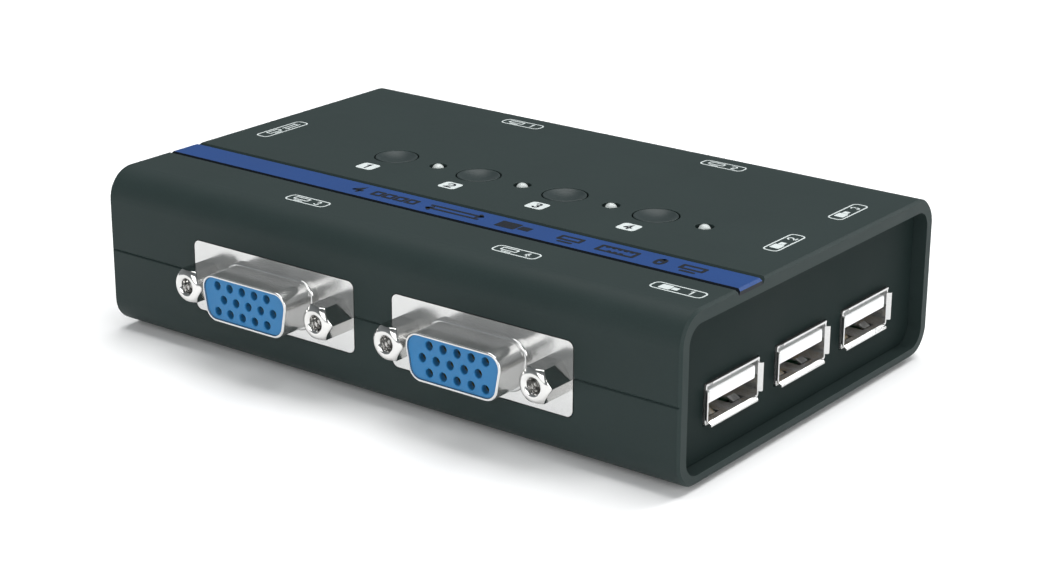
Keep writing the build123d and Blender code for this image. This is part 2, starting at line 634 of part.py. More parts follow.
def make_button(x):
    """A round push button with a dished top, a retaining collar and a column down to its switch."""
    cap = disc(x, BUTTON_Y, CASE_HIGH - BUTTON_THICKNESS, CASE_HIGH, BUTTON_DIAMETER)
    dish_radius = BUTTON_DIAMETER / 2 - BUTTON_RIM
    ball_radius = (dish_radius ** 2 + BUTTON_DISH_DEPTH ** 2) / (2 * BUTTON_DISH_DEPTH)
    cap = fillet(cap.faces().sort_by(Axis.Z)[-1].edges(), BUTTON_EDGE_ROUND)
    cap -= Pos(x, BUTTON_Y, CASE_HIGH - BUTTON_DISH_DEPTH + ball_radius) * Sphere(ball_radius)
    collar_high = ROOF_UNDERSIDE - BUTTON_COLLAR_DROP
    collar = disc(x, BUTTON_Y, collar_high - BUTTON_COLLAR_THICKNESS, collar_high, BUTTON_COLLAR_DIAMETER)
    column = disc(x, BUTTON_Y, BOARD_Z + STEM_TOP, collar_high, BUTTON_COLUMN_DIAMETER)
    return cap + collar + column


def make_stem(x):
    """The switch's plunger, which the button's column stands on."""
    return disc(x, BUTTON_Y, SWITCH_TOP - STEM_DEPTH, BOARD_Z + STEM_TOP, STEM_DIAMETER)


def make_switch_bodies():
    """Four tactile switch bodies on the board, each with a well that its stem sinks into."""
    bodies = []
    for x in BUTTON_XS:
        half = SWITCH_SIDE / 2
        body = slab(x - half, x + half, BUTTON_Y - half, BUTTON_Y + half, BOARD_Z, SWITCH_TOP)
        body = chamfer(body.edges().filter_by(Axis.Z), SWITCH_CORNER)
        well_floor = SWITCH_TOP - STEM_DEPTH - BUTTON_TRAVEL - STEM_GAP
        body -= disc(x, BUTTON_Y, well_floor, SWITCH_TOP, STEM_DIAMETER + 2 * STEM_GAP)
        bodies.append(body)
    return group(bodies)


def make_lenses():
    """Four clear rods that carry each lamp's light up to a domed end that stands out of its hole."""
    lenses = []
    for x in LAMP_XS:
        dome_middle = CASE_HIGH + LENS_PROUD - LENS_DIAMETER / 2
        rod = disc(x, LAMP_Y, BOARD_Z + LENS_FOOT_HEIGHT, dome_middle, LENS_DIAMETER)
        rod += Pos(x, LAMP_Y, dome_middle) * Sphere(LENS_DIAMETER / 2)
        collar = disc(x, LAMP_Y, ROOF_UNDERSIDE - LENS_COLLAR_THICKNESS, ROOF_UNDERSIDE,
                      LENS_COLLAR_DIAMETER)
        lenses.append(rod + collar)
    return group(lenses)


def make_lamps():
    """Four surface lamps on the board, one under each rod."""
    lamps = []
    for x in LAMP_XS:
        base = block(x, LAMP_Y, BOARD_Z, LAMP_BASE)
        dome = block(x, LAMP_Y, BOARD_Z + LAMP_BASE[2], LAMP_DOME)
        lamps.append(base + dome)
    return group(lamps)


# ---------------------------------------------------------------- board

def make_board():
    """The main circuit board, with holes for the screws."""
    board = slab(BOARD_LEFT, BOARD_RIGHT, BOARD_FRONT, BOARD_BACK, BOARD_Z - BOARD_THICKNESS, BOARD_Z)
    board = fillet(board.edges().filter_by(Axis.Z), BOARD_CORNER_RADIUS)
    for x, y in POST_PLACES:
        board -= disc(at_x(x), at_y(y), BOARD_Z - BOARD_THICKNESS, BOARD_Z, SCREW_CLEARANCE_DIAMETER)
    return board


def make_chip(place, length, width, height, pitch, leads_all_round):
    """A flat chip package, with its leads along the two long sides or all round."""
    x, y = at_x(place[0]), at_y(place[1])
    body = block(x, y, BOARD_Z + CHIP_STANDOFF, (length, width, height - CHIP_STANDOFF))
    chip = chamfer(body.faces().sort_by(Axis.Z)[-1].edges(), CHIP_TOP_BEVEL)
    lead_height = CHIP_STANDOFF + CHIP_LEAD_THICKNESS
    count = int(length / pitch) - 1
    for number in range(count):
        offset = (number - (count - 1) / 2) * pitch
        lead = (pitch / 2, width + 2 * CHIP_LEAD_REACH, lead_height)
        chip += block(x + offset, y, BOARD_Z, lead)
        if leads_all_round:
            lead = (length + 2 * CHIP_LEAD_REACH, pitch / 2, lead_height)
            chip += block(x, y + offset, BOARD_Z, lead)
    return chip


def make_controller():
    """The square controller chip in front of the buttons."""
    return make_chip(CONTROLLER_PLACE, CONTROLLER_SIDE, CONTROLLER_SIDE, CONTROLLER_HEIGHT,
                     CONTROLLER_LEAD_PITCH, True)


def make_video_switch_chips():
    """Three flat video switch chips, leaded along two sides."""
    return group([
        make_chip(place, VIDEO_CHIP_LENGTH, VIDEO_CHIP_WIDTH, VIDEO_CHIP_HEIGHT,
                  VIDEO_CHIP_LEAD_PITCH, False)
        for place in VIDEO_CHIP_PLACES
    ])


def make_crystal():
    """The clock crystal in its oval can."""
    can = extrude(SlotOverall(CRYSTAL_LENGTH, CRYSTAL_WIDTH), CRYSTAL_HEIGHT)
    can = fillet(can.faces().sort_by(Axis.Z)[-1].edges(), CRYSTAL_ROUND)
    return Pos(at_x(CRYSTAL_PLACE[0]), at_y(CRYSTAL_PLACE[1]), BOARD_Z) * can


def make_capacitors():
    """Four electrolytic capacitors in round cans with a square base."""
    cans = []
    can_low = BOARD_Z + CAPACITOR_BASE_HEIGHT
    for place_x, place_y in CAPACITOR_PLACES:
        x, y = at_x(place_x), at_y(place_y)
        base = block(x, y, BOARD_Z, (CAPACITOR_BASE_SIDE, CAPACITOR_BASE_SIDE, CAPACITOR_BASE_HEIGHT))
        can = disc(x, y, can_low, BOARD_Z + CAPACITOR_HEIGHT, CAPACITOR_DIAMETER)
        can = fillet(can.faces().sort_by(Axis.Z)[-1].edges(), CAPACITOR_ROUND)
        cans.append(base + can)
    return group(cans)


def make_chip_resistors():
    """Two rows of small chip resistors beside the video switch chips."""
    rows = []
    for row in RESISTOR_ROWS:
        for number in range(RESISTORS_PER_ROW):
            x = at_x(FIRST_RESISTOR + RESISTOR_PITCH * number)
            rows.append(block(x, at_y(row), BOARD_Z, RESISTOR_SIZE))
    return group(rows)


# ---------------------------------------------------------------- fasteners and feet

def make_case_screws():
    """Four self-tapping screws, up through the floor and the board into the top shell's posts."""
    screws = []
    head_low = CASE_LOW + SCREW_HEAD_SINK
    head_high = head_low + SCREW_HEAD_HEIGHT
    for x, y in POST_PLACES:
        head = disc(0, 0, head_low, head_high, SCREW_HEAD_DIAMETER)
        head = fillet(head.faces().sort_by(Axis.Z)[0].edges(), SCREW_HEAD_ROUND)
        bar = Box(SCREW_SLOT_LENGTH, SCREW_SLOT_WIDTH, 2 * SCREW_SLOT_DEPTH)
        slot = Pos(0, 0, head_low) * (bar + Rot(0, 0, 90) * bar)
        shank = disc(0, 0, head_high, head_high + SCREW_LENGTH, SCREW_DIAMETER)
        tip = chamfer(shank.faces().sort_by(Axis.Z)[-1].edges(), SCREW_TIP_BEVEL)
        screws.append(Pos(at_x(x), at_y(y), 0) * (head - slot + tip))
    return group(screws)


def make_feet():
    """Four round rubber feet, each pressed into a shallow socket in the floor."""
    feet = []
    for x, y in foot_places():
        foot = disc(x, y, 0, CASE_LOW + FOOT_SOCKET_DEPTH, FOOT_DIAMETER)
        feet.append(fillet(foot.faces().sort_by(Axis.Z)[0].edges(), FOOT_ROUND))
    return group(feet)


# ---------------------------------------------------------------- writing

def main():
    os.makedirs("parts", exist_ok=True)
    tube = make_case_tube()
    write_node("top_shell", make_top_shell(tube))
    write_node("bottom_shell", make_bottom_shell(tube))
    write_node("left_end_panel", make_left_panel())
    write_node("right_end_panel", make_right_panel())
    write_node("stripe_trim", make_stripe())

    shell = make_video_shell()
    jackscrews = make_jackscrews()
    for port, plane in VIDEO_PORTS.items():
        middle_row_side = MIDDLE_ROW_SIDES.get(port, 1)
        write_node(f"{port}_port_shell", plane * shell)
        write_node(f"{port}_port_insulator", plane * make_video_insulator(middle_row_side))
        write_node(f"{port}_port_contacts", plane * make_video_contacts(middle_row_side))
        write_node(f"{port}_port_jackscrews", plane * jackscrews)

    usb_pieces = {
        "shell": make_usb_shell(),
        "tongue": make_usb_tongue(),
        "contacts": make_usb_contacts(),
    }
    for number, y in enumerate(USB_YS, start=1):
        for piece, shape in usb_pieces.items():
            write_node(f"usb_{number}_{piece}", usb_plane(y) * shape)

    for number, x in enumerate(BUTTON_XS, start=1):
        write_node(f"button_{number}", make_button(x))
        write_node(f"switch_stem_{number}", make_stem(x))
    write_node("switch_bodies", make_switch_bodies())
    write_node("lamp_lenses", make_lenses())
    write_node("lamps", make_lamps())

    write_node("main_board", make_board())
    write_node("controller_chip", make_controller())
    write_node("video_switch_chips", make_video_switch_chips())
    write_node("clock_crystal", make_crystal())
    write_node("board_capacitors", make_capacitors())
    write_node("chip_resistors", make_chip_resistors())

    write_node("case_screws", make_case_screws())
    write_node("rubber_feet", make_feet())


main()
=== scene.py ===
import logging
import math
from dataclasses import dataclass, field
from enum import Enum

import bpy
import numpy as np
from mathutils import Matrix, Vector


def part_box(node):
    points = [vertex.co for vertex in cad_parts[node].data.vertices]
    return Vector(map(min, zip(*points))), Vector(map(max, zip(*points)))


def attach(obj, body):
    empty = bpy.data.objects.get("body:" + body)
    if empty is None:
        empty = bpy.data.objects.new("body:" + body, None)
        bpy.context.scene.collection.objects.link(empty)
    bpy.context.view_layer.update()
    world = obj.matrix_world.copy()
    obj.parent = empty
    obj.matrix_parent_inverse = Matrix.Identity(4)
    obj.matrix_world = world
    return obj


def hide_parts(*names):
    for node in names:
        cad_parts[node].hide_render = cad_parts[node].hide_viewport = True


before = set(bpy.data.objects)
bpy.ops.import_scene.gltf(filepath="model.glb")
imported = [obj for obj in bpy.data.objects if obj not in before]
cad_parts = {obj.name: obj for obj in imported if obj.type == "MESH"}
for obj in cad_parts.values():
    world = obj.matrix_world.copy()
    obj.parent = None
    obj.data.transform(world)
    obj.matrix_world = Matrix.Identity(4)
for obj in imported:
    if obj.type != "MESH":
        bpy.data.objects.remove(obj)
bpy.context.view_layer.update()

LOG = logging.getLogger("kvm_switch")
MM = 0.001
CASE_BODY = "case"
VIDEO_PORTS = ("monitor", "computer_1", "computer_2", "computer_3", "computer_4")
USB_NUMBERS = (1, 2, 3)
BUTTON_NUMBERS = (1, 2, 3, 4)


# ---------------------------------------------------------------- small tools


def srgb(code: str) -> tuple[float, float, float, float]:
    """Turn an sRGB hex colour into the linear values that shaders use.

    Args:
        code: Six hex digits with a leading hash.

    Returns:
        Linear red, green and blue with an alpha of 1.
    """
    parts = np.array([int(code[i:i + 2], 16) / 255 for i in (1, 3, 5)])
    linear = np.where(parts <= 0.04045, parts / 12.92, ((parts + 0.055) / 1.055) ** 2.4)
    return (*linear.tolist(), 1.0)


def add_node(
    tree: bpy.types.NodeTree,
    kind: str,
    settings: dict[str, object] | None = None,
    inputs: dict[str | int, object] | None = None,
) -> bpy.types.Node:
    """Add one shader node with its settings, values and links.

    Args:
        tree: The node tree that gets the node.
        kind: The node's type name.
        settings: Properties of the node itself.
        inputs: Values, or output sockets to link, by input name or number.

    Returns:
        The new node.
    """
    node = tree.nodes.new(kind)
    for name, value in (settings or {}).items():
        setattr(node, name, value)
    for name, value in (inputs or {}).items():
        if isinstance(value, bpy.types.NodeSocket):
            tree.links.new(value, node.inputs[name])
        else:
            node.inputs[name].default_value = value
    return node


# ---------------------------------------------------------------- finishes


@dataclass(frozen=True)
class Finish:
    """A surface finish: a base colour, a gloss and a fine relief, each with its own drift.

    The relief is noise at the real size of the grain. A second, broad noise gives the slow
    change in tone and gloss that every moulded, plated or printed surface has.
    """

    name: str
    colour: str
    roughness: float
    metallic: float = 0.0
    grain_mm: float = 0.3
    relief_mm: float = 0.01
    relief_strength: float = 0.2
    drift_mm: float = 14.0
    colour_drift: float = 0.06
    gloss_drift: float = 0.05
    ior: float = 1.5
    specular: float = 0.5
    transmission: float = 0.0
    coat: float = 0.0
    stretch: tuple[float, float, float] = (1.0, 1.0, 1.0)
    # Painted shade: a darker colour for every face that does not face up, standing in for shadow on
    # sides and in grooves. Empty means none.
    painted_side_shade: str = ""

    def make(self) -> bpy.types.Material:
        """Build the node material.

        Returns:
            The material, ready to be put in an object's slot.
        """
        material = bpy.data.materials.new(self.name)
        material.use_nodes = True
        tree = material.node_tree
        tree.nodes.clear()
        place = add_node(tree, "ShaderNodeTexCoord")
        point = add_node(tree, "ShaderNodeMapping", {}, {
            "Vector": place.outputs["Object"],
            "Scale": self.stretch,
        })
        grain = self.noise(tree, point, self.grain_mm, 3.0)
        drift = self.noise(tree, point, self.drift_mm, 2.0)
        gloss = add_node(tree, "ShaderNodeMapRange", {}, {
            "Value": drift.outputs["Fac"],
            "From Min": 0.3,
            "From Max": 0.7,
            "To Min": max(self.roughness - self.gloss_drift, 0.02),
            "To Max": min(self.roughness + self.gloss_drift, 1.0),
        })
        bump = add_node(tree, "ShaderNodeBump", {}, {
            "Height": grain.outputs["Fac"],
            "Strength": self.relief_strength,
            "Distance": self.relief_mm * MM,
        })
        shader = add_node(tree, "ShaderNodeBsdfPrincipled", {}, {
            "Base Color": self.colour_socket(tree, place, grain, drift),
            "Roughness": gloss.outputs["Result"],
            "Metallic": self.metallic,
            "IOR": self.ior,
            "Specular IOR Level": self.specular,
            "Transmission Weight": self.transmission,
            "Coat Weight": self.coat,
            "Normal": bump.outputs["Normal"],
        })
        add_node(tree, "ShaderNodeOutputMaterial", {}, {"Surface": shader.outputs["BSDF"]})
        return material

    def noise(
        self, tree: bpy.types.NodeTree, point: bpy.types.Node, size_mm: float, detail: float
    ) -> bpy.types.Node:
        """Add a noise whose lumps have a real size.

        Args:
            tree: The material's tree.
            point: The node that gives the place on the object.
            size_mm: The size of a lump.
            detail: The number of finer octaves.

        Returns:
            The noise node.
        """
        return add_node(tree, "ShaderNodeTexNoise", {}, {
            "Vector": point.outputs["Vector"],
            "Scale": 1.0 / (size_mm * MM),
            "Detail": detail,
            "Roughness": 0.6,
        })

    def shades(self, code: str) -> tuple[tuple[float, ...], tuple[float, ...]]:
        """A darker and a lighter version of a colour, as linear values."""
        base = np.array(srgb(code)[:3])
        dark = (*(base * (1 - self.colour_drift)).tolist(), 1.0)
        light = (*np.minimum(base * (1 + self.colour_drift), 1.0).tolist(), 1.0)
        return dark, light

    def colour_socket(
        self,
        tree: bpy.types.NodeTree,
        place: bpy.types.Node,
        grain: bpy.types.Node,
        drift: bpy.types.Node,
    ) -> bpy.types.NodeSocket:
        """Mix the colour's dark and light versions by the noises, and paint shade on faces that do not
        face up.

        Args:
            tree: The material's tree.
            place: The texture coordinates.
            grain: The fine noise.
            drift: The broad noise.

        Returns:
            The colour output.
        """
        both = add_node(tree, "ShaderNodeMath", {"operation": "ADD"}, {
            0: grain.outputs["Fac"],
            1: drift.outputs["Fac"],
        })
        factor = add_node(tree, "ShaderNodeMapRange", {}, {
            "Value": both.outputs["Value"],
            "From Min": 0.7,
            "From Max": 1.3,
        })
        dark, light = self.shades(self.colour)
        face = self.mix(tree, factor.outputs["Result"], dark, light)
        if not self.painted_side_shade:
            return face
        dark, light = self.shades(self.painted_side_shade)
        side = self.mix(tree, factor.outputs["Result"], dark, light)
        # Painted shade: faces whose normal does not point up get the darker side colour in place of the
        # face colour.
        tilt = add_node(tree, "ShaderNodeSeparateXYZ", {}, {"Vector": place.outputs["Normal"]})
        faces_up = add_node(tree, "ShaderNodeMath", {"operation": "GREATER_THAN"}, {
            0: tilt.outputs["Z"],
            1: 0.5,
        })
        return self.mix(tree, faces_up.outputs["Value"], side, face)

    def mix(
        self, tree: bpy.types.NodeTree, factor: bpy.types.NodeSocket, low: object, high: object
    ) -> bpy.types.NodeSocket:
        """Mix two colours, each a value or a socket, and give the result's socket."""
        node = add_node(tree, "ShaderNodeMix", {"data_type": "RGBA"}, {
            "Factor": factor,
            6: low,
            7: high,
        })
        return node.outputs[2]


class Finishes(Enum):
    """Every finish on the switch, named for what the material is and how it was made."""

    # Injection-moulded ABS from a spark-eroded tool: dark, matt, with a fine even grain.
    MOULDED_ABS = Finish("moulded_abs_grey", "#242f2e", 0.52, grain_mm=0.28, relief_mm=0.012,
                         relief_strength=0.3, specular=0.16)
    # The end panels: the same ABS from a tool with a duller grain, its colour darkened as painted shade
    # because the end faces get less light.
    PANEL_ABS_PAINTED_SHADE = Finish("moulded_abs_panel_painted_shade", "#1a2423", 0.6, grain_mm=0.28, relief_mm=0.012,
                       relief_strength=0.3, specular=0.06)
    # The same ABS from a smoother tool for the buttons, with a little more sheen.
    BUTTON_ABS = Finish("moulded_abs_button", "#252f2f", 0.42, grain_mm=0.2, relief_mm=0.006,
                        specular=0.25)
    # Blue strip under a satin lacquer. Its sides and the groove walls beside it get a near-black colour,
    # painted shade for the shadow in the grooves.
    BLUE_STRIP = Finish("printed_strip_blue", "#1d3e74", 0.42, grain_mm=0.35, relief_mm=0.004,
                        specular=0.15, painted_side_shade="#10151c")
    # Bright nickel on drawn steel: nearly a mirror, with faint drawing lines and clouding.
    BRIGHT_NICKEL = Finish("bright_nickel_plate", "#cccccb", 0.18, metallic=0.87, grain_mm=0.5,
                           relief_mm=0.003, relief_strength=0.15, drift_mm=5.0,
                           colour_drift=0.04)
    # Turned brass under bright nickel, with fine rings from the tool.
    TURNED_NICKEL = Finish("turned_nickel_plate", "#d8d7d5", 0.12, metallic=1.0, grain_mm=0.12,
                           relief_mm=0.003, relief_strength=0.2, drift_mm=3.0, colour_drift=0.05)
    # Glass-filled PBT insulator: solid blue with a soft satin skin.
    BLUE_PBT = Finish("moulded_pbt_blue", "#246c9e", 0.42, grain_mm=0.15, relief_mm=0.004,
                      specular=0.35)
    # Gold flash over nickel on stamped contacts.
    GOLD_FLASH = Finish("gold_flashed_contact", "#c9a24e", 0.25, metallic=1.0, grain_mm=0.2,
                        relief_mm=0.002)
    # Nylon tongue: milky white, satin.
    WHITE_NYLON = Finish("moulded_nylon_white", "#f2f3f3", 0.35, grain_mm=0.2, relief_mm=0.003,
                         colour_drift=0.02)
    # Frosted acrylic light rod: pale and translucent.
    FROSTED_ACRYLIC = Finish("frosted_acrylic", "#ccd2d0", 0.22, transmission=0.25, ior=1.49,
                             grain_mm=0.1, relief_mm=0.003)
    # Epoxy body of a surface-mounted lamp.
    LAMP_EPOXY = Finish("lamp_epoxy", "#e6e0c8", 0.3, grain_mm=0.15)
    # Screen-printed ink: matt white, a little uneven in tone.
    WHITE_INK = Finish("screen_ink_white", "#c4cbca", 0.6, grain_mm=0.12, relief_mm=0.003,
                       colour_drift=0.05, specular=0.2)
    # Screen-printed ink, almost black.
    DARK_INK = Finish("screen_ink_dark", "#0b111b", 0.55, grain_mm=0.12, relief_mm=0.003,
                      specular=0.2)
    # Green solder mask over a glass-epoxy board.
    SOLDER_MASK = Finish("solder_mask_green", "#14502e", 0.3, grain_mm=0.8, relief_mm=0.02,
                         colour_drift=0.2, drift_mm=4.0, coat=0.3)
    # Moulded epoxy of chips and resistors.
    CHIP_EPOXY = Finish("chip_epoxy_black", "#17181a", 0.5, grain_mm=0.12, relief_mm=0.006)
    # Drawn aluminium cans, their lines running up the can.
    DRAWN_ALUMINIUM = Finish("drawn_aluminium", "#c4c6c8", 0.28, metallic=1.0, grain_mm=0.3,
                             relief_mm=0.003, stretch=(1.0, 1.0, 0.15))
    # Black passivated zinc on the case screws.
    BLACK_ZINC = Finish("black_zinc_plate", "#2c2d30", 0.35, metallic=1.0, grain_mm=0.2,
                        relief_mm=0.004)
    # Moulded rubber feet: black and dusty.
    FOOT_RUBBER = Finish("moulded_rubber_black", "#141414", 0.75, grain_mm=0.4, relief_mm=0.015,
                         relief_strength=0.4)
    # Moulded nylon of the tactile switches.
    SWITCH_NYLON = Finish("moulded_nylon_black", "#1b1c1e", 0.45, grain_mm=0.2)


@dataclass
class Wardrobe:
    """Makes each finish once and puts it on objects."""

    made: dict[str, bpy.types.Material] = field(default_factory=dict)

    def dress(self, thing: bpy.types.Object, finish: Finishes) -> None:
        """Put one finish in every slot of an object.

        Args:
            thing: The mesh object.
            finish: The finish that it gets.
        """
        name = finish.value.name
        if name not in self.made:
            self.made[name] = finish.value.make()
        if not thing.data.materials:
            thing.data.materials.append(self.made[name])
            return
        for place in range(len(thing.data.materials)):
            thing.data.materials[place] = self.made[name]


# ---------------------------------------------------------------- surfaces


@dataclass
class Surface:
    """Points, in millimetres, and faces of a mesh that is being worked out."""

    points: np.ndarray
    faces: list[tuple[int, ...]]

    def joined(self, other: "Surface") -> "Surface":
        """Both surfaces as one."""
        shift = len(self.points)
        moved = [tuple(corner + shift for corner in face) for face in other.faces]
        return Surface(np.vstack([self.points, other.points]), self.faces + moved)

    def moved(self, shift: tuple[float, float, float]) -> "Surface":
        """The surface carried by a shift."""
        return Surface(self.points + np.array(shift), self.faces)

    def to_object(self, name: str, sharp_deg: float = 35.0) -> bpy.types.Object:
        """Make the Blender object, with its place in its mesh.

        Args:
            name: The piece's name.
            sharp_deg: Edges that turn more than this stay crisp.

        Returns:
            The object, linked to the scene.
        """
        mesh = bpy.data.meshes.new(name)
        mesh.from_pydata((self.points * MM).tolist(), [], self.faces)
        mesh.validate()
        mesh.polygons.foreach_set("use_smooth", np.ones(len(mesh.polygons), bool))
        mesh.set_sharp_from_angle(angle=math.radians(sharp_deg))
        thing = bpy.data.objects.new(name, mesh)
        bpy.context.scene.collection.objects.link(thing)
        return thing


def gathered(surfaces: list[Surface]) -> Surface:
    """Several surfaces as one."""
    whole = surfaces[0]
    for surface in surfaces[1:]:
        whole = whole.joined(surface)
    return whole


def rounded_rectangle(width: float, height: float, radius: float, steps: int = 6) -> np.ndarray:
    """An oblong outline: four quarter circles whose centres stand a radius in from the corners.

    Args:
        width: Full width.
        height: Full height.
        radius: Corner radius.
        steps: Segments in each quarter circle.

    Returns:
        Points in counter-clockwise order, as rows of two.
    """
    arcs = []
    for side_x, side_y, start in ((1, 1, 0), (-1, 1, 90), (-1, -1, 180), (1, -1, 270)):
        centre = (side_x * (width / 2 - radius), side_y * (height / 2 - radius))
        arcs.append(arc_points(centre, radius, start, start + 90, steps))
    return np.vstack(arcs)


def arc_points(
    centre: tuple[float, float], radius: float, start_deg: float, end_deg: float, steps: int = 10
) -> np.ndarray:
    """Points along a circular arc, centre plus radius times cosine and sine of the angle."""
    angle = np.radians(np.linspace(start_deg, end_deg, steps + 1))
    return np.column_stack([centre[0] + radius * np.cos(angle), centre[1] + radius * np.sin(angle)])


def stroke_end(tip: np.ndarray, ahead: np.ndarray, width: float) -> np.ndarray:
    """Points round the end of a pen stroke: half a circle, without its two first corners.

    Args:
        tip: The last point of the stroke's middle line.
        ahead: The direction of the stroke there, one long.
        width: The stroke's width.

    Returns:
        The points in counter-clockwise order.
    """
    turn = np.linspace(-math.pi / 2, math.pi / 2, 7)[1:-1]
    across = np.array([-ahead[1], ahead[0]])
    return tip + width / 2 * (np.outer(np.cos(turn), ahead) + np.outer(np.sin(turn), across))


def stroke(path: np.ndarray, width: float) -> np.ndarray:
    """The outline of a pen stroke: the path shifted half a width to each side, with round ends.

    Args:
        path: Points along the middle of the stroke.
        width: The stroke's width.

    Returns:
        The closed outline in counter-clockwise order.
    """
    step = np.diff(path, axis=0)
    step /= np.linalg.norm(step, axis=1)[:, None]
    before = np.vstack([step[:1], step])
    after = np.vstack([step, step[-1:]])
    middle = before + after
    middle /= np.linalg.norm(middle, axis=1)[:, None]
    lean = np.maximum((middle * after).sum(axis=1), 0.5)[:, None]
    side = np.column_stack([middle[:, 1], -middle[:, 0]]) / lean * width / 2
    ends = stroke_end(path[-1], step[-1], width), stroke_end(path[0], -step[0], width)
    return np.vstack([path + side, ends[0], (path - side)[::-1], ends[1]])


def rings_surface(rings: list[np.ndarray], closed: bool) -> Surface:
    """Rings of the same number of points joined by four-sided faces.

    Args:
        rings: Arrays of three-column points, each ring counter-clockwise seen from its end.
        closed: True joins the last ring to the first. False ends both with a face.

    Returns:
        The surface.
    """
    count = len(rings[0])
    ring = np.arange(count)
    following = (ring + 1) % count
    faces = []
    for place in range(len(rings) if closed else len(rings) - 1):
        here, there = place * count, (place + 1) % len(rings) * count
        quads = np.column_stack([ring + here, following + here, following + there, ring + there])
        faces += [tuple(quad) for quad in quads.tolist()]
    if not closed:
        last = (len(rings) - 1) * count
        faces.append(tuple(range(count - 1, -1, -1)))
        faces.append(tuple(range(last, last + count)))
    return Surface(np.vstack(rings), faces)


def at_height(outline: np.ndarray, height: float) -> np.ndarray:
    """A flat outline as three-column points at one height."""
    return np.column_stack([outline, np.full(len(outline), height)])


def plate(outline: np.ndarray, low: float, high: float) -> Surface:
    """A closed plate: the outline at two heights, with a face at each and walls between."""
    return rings_surface([at_height(outline, low), at_height(outline, high)], closed=False)


def frame_of(outer: np.ndarray, inner: np.ndarray, low: float, high: float) -> Surface:
    """A closed flat ring between two outlines that have the same number of points."""
    corners = ((outer, low), (outer, high), (inner, high), (inner, low))
    return rings_surface([at_height(line, height) for line, height in corners], closed=True)


# ---------------------------------------------------------------- printed marks


@dataclass
class Spot:
    """Where a print is, in the millimetres of the row frame, and which way it reads."""

    x: float
    y: float
    turn_deg: float = 0.0

    def place(self, surface: Surface) -> Surface:
        """Turn a mark about its own middle and carry it to the spot."""
        cos_t, sin_t = math.cos(math.radians(self.turn_deg)), math.sin(math.radians(self.turn_deg))
        points = surface.points.copy()
        points[:, 0] = self.x + surface.points[:, 0] * cos_t - surface.points[:, 1] * sin_t
        points[:, 1] = self.y + surface.points[:, 0] * sin_t + surface.points[:, 1] * cos_t
        return Surface(points, surface.faces)


class Picture(Enum):
    """The generic pictures that the prints use in place of words."""

    SCREEN = "screen"
    PLUG = "plug"
    KEYBOARD = "keyboard"
    MOUSE = "mouse"
    SQUARES = "squares"
    ARROWS = "arrows"


@dataclass
class Pen:
    """Draws digits and pictures as thin plates of ink, each about its own middle."""

    low: float
    high: float
    line: float

    def fill(self, outline: np.ndarray, x: float = 0.0, y: float = 0.0) -> Surface:
        """A solid patch of ink."""
        return plate(outline + (x, y), self.low, self.high)

    def draw(self, points: list[tuple[float, float]]) -> Surface:
        """A pen stroke through the points."""
        return plate(stroke(np.array(points, float), self.line), self.low, self.high)

    def ring(self, width: float, height: float, radius: float, x: float = 0.0) -> Surface:
        """A rounded frame, one line wide, measured over its outside."""
        outer = rounded_rectangle(width, height, radius, 5) + (x, 0)
        inner = rounded_rectangle(width - 2 * self.line, height - 2 * self.line,
                                  max(radius - self.line, 0.02), 5) + (x, 0)
        return frame_of(outer, inner, self.low, self.high)

    def digit(self, number: int, width: float, height: float) -> Surface:
        """One of the digits 1 to 4, made of arcs and straight strokes.

        Args:
            number: The digit.
            width: The width over the middles of its strokes.
            height: The height over the middles of its strokes.

        Returns:
            The digit's plates.
        """
        half, tall = width / 2, height / 2
        bow = arc_points((0, tall - half), half, 170, -25).tolist()
        upper = arc_points((0, tall / 2), tall / 2, 150, -80).tolist()
        lower = arc_points((0, -tall / 2), tall / 2, 80, -150).tolist()
        lines = {
            1: [[(-half * 0.6, tall * 0.55), (half * 0.1, tall), (half * 0.1, -tall)]],
            2: [[*bow, (-half, -tall)], [(-half, -tall), (half, -tall)]],
            3: [upper, lower],
            4: [[(half * 0.35, -tall), (half * 0.35, tall), (-half, -tall * 0.35)],
                [(-half, -tall * 0.35), (half, -tall * 0.35)]],
        }
        return gathered([self.draw(line) for line in lines[number]])

    def picture(self, kind: Picture, width: float, height: float) -> Surface:
        """A generic picture that fills a width and a height.

        Args:
            kind: Which picture.
            width: Full width.
            height: Full height.

        Returns:
            The picture's plates.
        """
        half, tall = width / 2, height / 2
        parts: list[Surface] = []
        if kind is Picture.SCREEN:
            parts.append(self.ring(width, height * 0.74, 0.25).moved((0, height * 0.13, 0)))
            parts.append(self.draw([(-half * 0.5, -tall), (half * 0.5, -tall)]))
        elif kind is Picture.PLUG:
            parts.append(self.fill(rounded_rectangle(width * 0.62, height, 0.2, 3), -width * 0.19))
            parts.append(self.fill(rounded_rectangle(width * 0.34, height * 0.6, 0.06, 3),
                                   width * 0.33))
        elif kind is Picture.KEYBOARD:
            parts.append(self.ring(width, height, 0.3))
            for row, keys in ((0.45, 5), (-0.45, 3)):
                for key in range(keys):
                    x = (key - (keys - 1) / 2) * width / 6.5
                    parts.append(self.fill(rounded_rectangle(width / 11, height / 7, 0.05, 2), x,
                                           row * tall))
        elif kind is Picture.MOUSE:
            parts.append(self.ring(width, height, width / 2 - 0.01))
            parts.append(self.draw([(0, tall * 0.8), (0, tall * 0.2)]))
        elif kind is Picture.SQUARES:
            side = height * 0.8
            for place in range(4):
                x = (place - 1.5) * (width - side) / 3
                parts.append(self.ring(side, side, 0.3, x))
        else:
            for sign in (1, -1):
                y = sign * tall * 0.5
                tip = sign * half
                parts.append(self.draw([(-tip, y), (tip, y)]))
                parts.append(self.draw([(tip - sign * tall * 0.5, y + tall * 0.5), (tip, y),
                                        (tip - sign * tall * 0.5, y - tall * 0.5)]))
        return gathered(parts)


